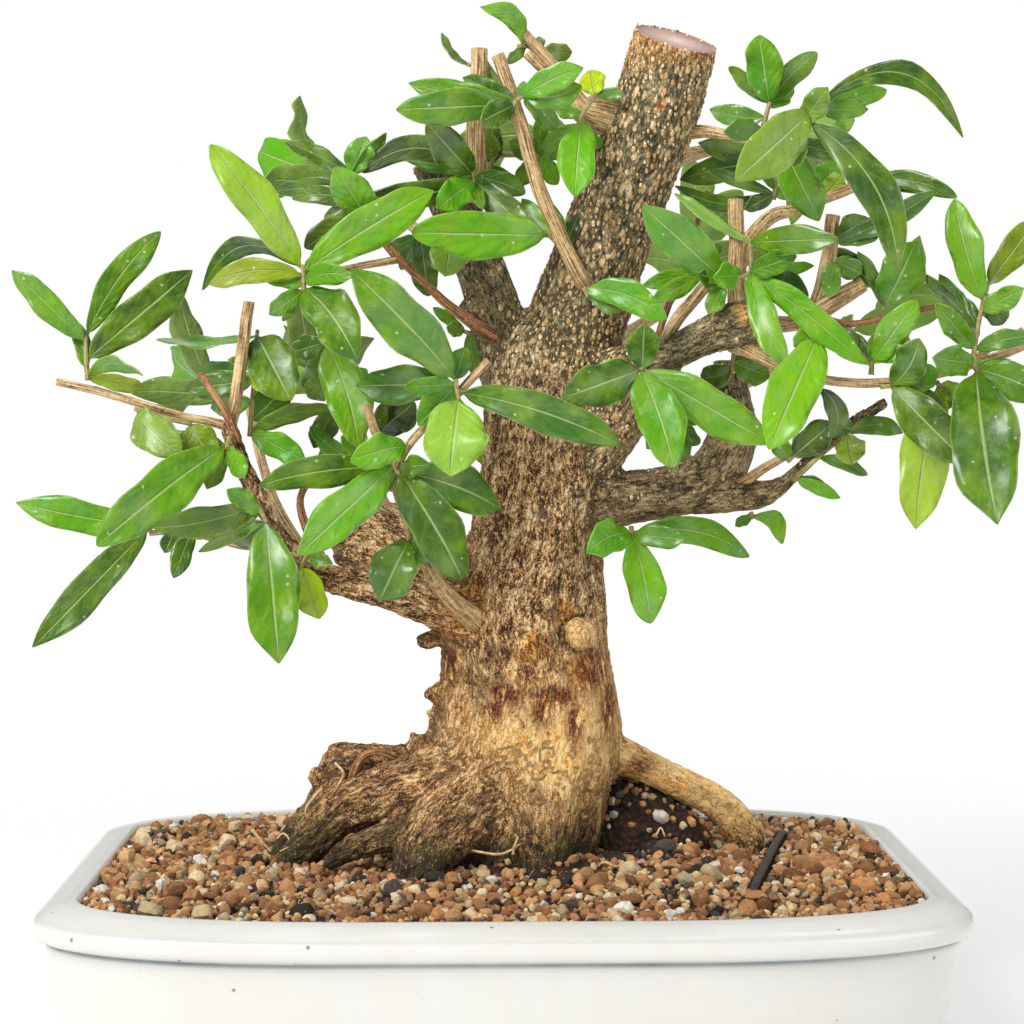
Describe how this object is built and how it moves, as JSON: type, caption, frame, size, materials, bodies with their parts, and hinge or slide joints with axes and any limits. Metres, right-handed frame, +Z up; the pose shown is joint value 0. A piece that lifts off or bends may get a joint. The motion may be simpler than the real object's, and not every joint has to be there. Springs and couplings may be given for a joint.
{
  "type": "pomegranate bonsai",
  "caption": "Broadleaf pomegranate bonsai with a thick buttressed trunk, a sawn leader and leafy shoots, rooted in granular soil in a shallow glazed pot with rounded corners.",
  "frame": {"origin": "middle of the pot's flat underside, on the surface that the pot stands on", "axes": "+Z up along the trunk, +X to the right along the pot's long side, -Y towards the tree's front"},
  "size_m": [0.3497, 0.225, 0.3711],
  "materials": {
    "glaze": "glossy cream glaze with blue-grey pooling under the lip",
    "screen_plastic": "matte",
    "soil_granules": "rough fired-clay granules with pumice",
    "tie_sheath": "satin",
    "bark": "rough bark, smooth tan patches and sawn faces",
    "leaf": "waxy semi-gloss leaf"
  },
  "bodies": {
    "root": {"pot": "glaze", "drain_screen_left": "screen_plastic", "drain_screen_right": "screen_plastic", "soil": "soil_granules", "anchor_tie": "tie_sheath", "trunk": "bark", "leaves_far_left": "leaf", "leaves_left_bud": "leaf", "leaves_left_upright": "leaf", "leaves_upper_left": "leaf", "leaves_left_crown": "leaf", "leaves_upper_limb": "leaf", "leaves_upper_inner": "leaf", "leaves_top_left": "leaf", "leaves_top": "leaf", "leaves_tip_left": "leaf", "leaves_leader_knob": "leaf", "leaves_front_twig": "leaf", "leaves_hanging_dark": "leaf", "leaves_limb_base": "leaf", "leaves_pale_leaves": "leaf", "leaves_cut_twig": "leaf", "leaves_left_middle": "leaf", "leaves_behind_twig": "leaf", "leaves_low_left": "leaf", "leaves_left_front": "leaf", "leaves_left_hanging": "leaf", "leaves_small_oval": "leaf", "leaves_low_limb": "leaf", "leaves_right_top": "leaf", "leaves_right_crown": "leaf", "leaves_right_inner": "leaf", "leaves_right_bud": "leaf", "leaves_limb_front": "leaf", "leaves_limb_under": "leaf", "leaves_leader_leaf": "leaf", "leaves_right_back": "leaf", "leaves_right_twig": "leaf", "leaves_right_disc": "leaf", "leaves_right_spur": "leaf", "leaves_right_low": "leaf", "leaves_right_hanging": "leaf", "leaves_far_right": "leaf", "leaves_right_oval": "leaf", "leaves_right_front": "leaf", "leaves_right_under": "leaf", "leaves_right_curled": "leaf", "leaves_curled_leaf": "leaf", "leaves_knuckle_back": "leaf", "leaves_limb_tip": "leaf", "leaves_trunk_right": "leaf", "leaves_back_1": "leaf", "leaves_back_2": "leaf", "leaves_back_3": "leaf", "leaves_back_4": "leaf", "leaves_back_5": "leaf", "leaves_back_6": "leaf", "leaves_back_7": "leaf"}
  },
  "joints": []
}
